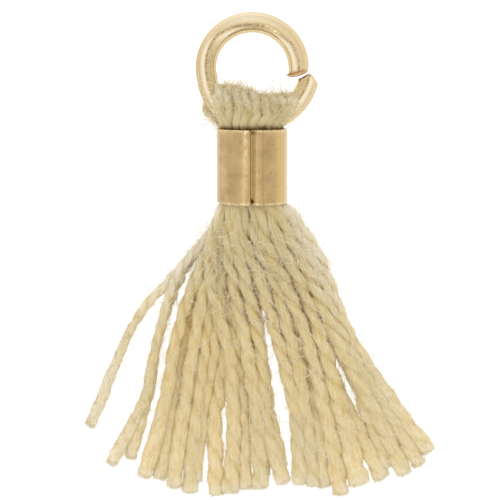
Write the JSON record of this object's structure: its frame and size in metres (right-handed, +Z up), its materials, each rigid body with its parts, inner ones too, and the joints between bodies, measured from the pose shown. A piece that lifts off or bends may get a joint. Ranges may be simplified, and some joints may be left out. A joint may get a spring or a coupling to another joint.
{
  "type": "tassel",
  "caption": "Small craft tassel lying flat: a hank of soft two-ply yarn folded over an open jump ring, gripped by a rolled metal tube and fanned out in a skirt of cut ends.",
  "frame": {"origin": "on the surface it lies on, under the middle of its bounding box", "axes": "+Y from the cut hem to the ring, +X to the right, +Z up from the surface"},
  "size_m": [0.019, 0.0264, 0.0037],
  "materials": {
    "ring_metal": "polished pale gold plate on brass wire",
    "tube_metal": "polished gold plate on rolled brass sheet",
    "cotton_yarn": "matt, soft and fuzzy, cream"
  },
  "bodies": {
    "root": {"jump_ring": "ring_metal", "crimp_tube": "tube_metal", "yarn": "cotton_yarn"}
  },
  "joints": []
}
